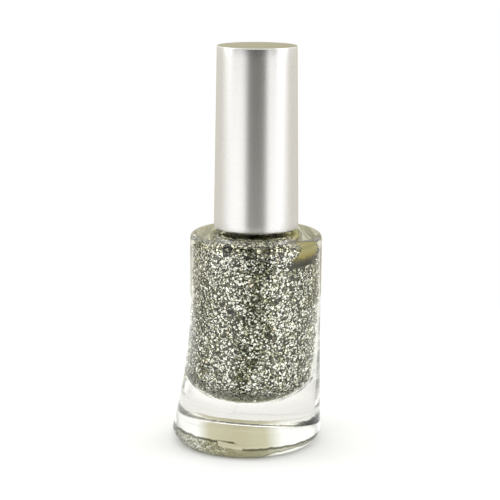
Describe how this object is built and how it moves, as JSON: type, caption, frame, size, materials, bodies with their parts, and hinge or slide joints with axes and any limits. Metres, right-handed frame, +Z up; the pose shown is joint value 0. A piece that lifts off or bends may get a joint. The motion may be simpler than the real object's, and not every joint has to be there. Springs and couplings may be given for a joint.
{
  "type": "nail polish bottle",
  "caption": "Round thick-glass nail polish bottle with a foot flared to one side, silver glitter polish, and a tall satin screw cap that carries the brush.",
  "frame": {"origin": "centre of the round foot, on the surface the bottle stands on", "axes": "+Z up; +X from the foot's centre towards the neck axis, which stands 1.75 mm to that side; the foot flares towards -X; -Y is the pictured side"},
  "size_m": [0.0302, 0.0302, 0.08],
  "materials": {
    "clear_glass": "clear thick glass, faint olive tint, polished",
    "glitter_polish": "gloss, clear greyish-olive lacquer dense with silver glitter flakes",
    "steel": "satin",
    "satin_silver": "satin",
    "white_plastic": "satin",
    "gasket_foam": "matte closed-cell foam",
    "black_plastic": "satin",
    "black_nylon": "matte, fine straight bristles"
  },
  "bodies": {
    "bottle": {"bottle": "clear_glass", "polish": "glitter_polish"},
    "gasket": {"sealing_gasket": "gasket_foam"},
    "brush": {"brush_stem": "black_plastic", "tuft_anchor": "steel", "bristle_tuft": "black_nylon"},
    "cap": {"inner_cap": "white_plastic", "overcap": "satin_silver"},
    "ball_1": {"mixing_ball_1": "steel"},
    "ball_2": {"mixing_ball_2": "steel"}
  },
  "joints": [
    {"name": "cap_pull", "type": "slide", "parent": "bottle", "child": "gasket", "axis": [0, 0, 1], "range_m": [0, 0.055], "deforming": ["polish"]},
    {"name": "cap_rise", "type": "slide", "parent": "gasket", "child": "brush", "axis": [0, 0, 1], "range_m": [0, 0.0053]},
    {"name": "cap_turn", "type": "hinge", "parent": "brush", "child": "cap", "pos_m": [0.00175, 0, 0.04395], "axis": [0, 0, 1], "range_deg": [0, 900]},
    {"name": "ball_1_rattle", "type": "slide", "parent": "bottle", "child": "ball_1", "axis": [-0.1126, -0.1152, 0.9869], "range_m": [0, 0.02], "deforming": ["polish"]},
    {"name": "ball_2_rattle", "type": "slide", "parent": "bottle", "child": "ball_2", "axis": [-0.1126, 0.1152, 0.9869], "range_m": [0, 0.02], "deforming": ["polish"]}
  ],
  "couplings": [
    {"joint": "cap_rise", "follows": "cap_turn", "m_per_rad": 0.00033693}
  ]
}
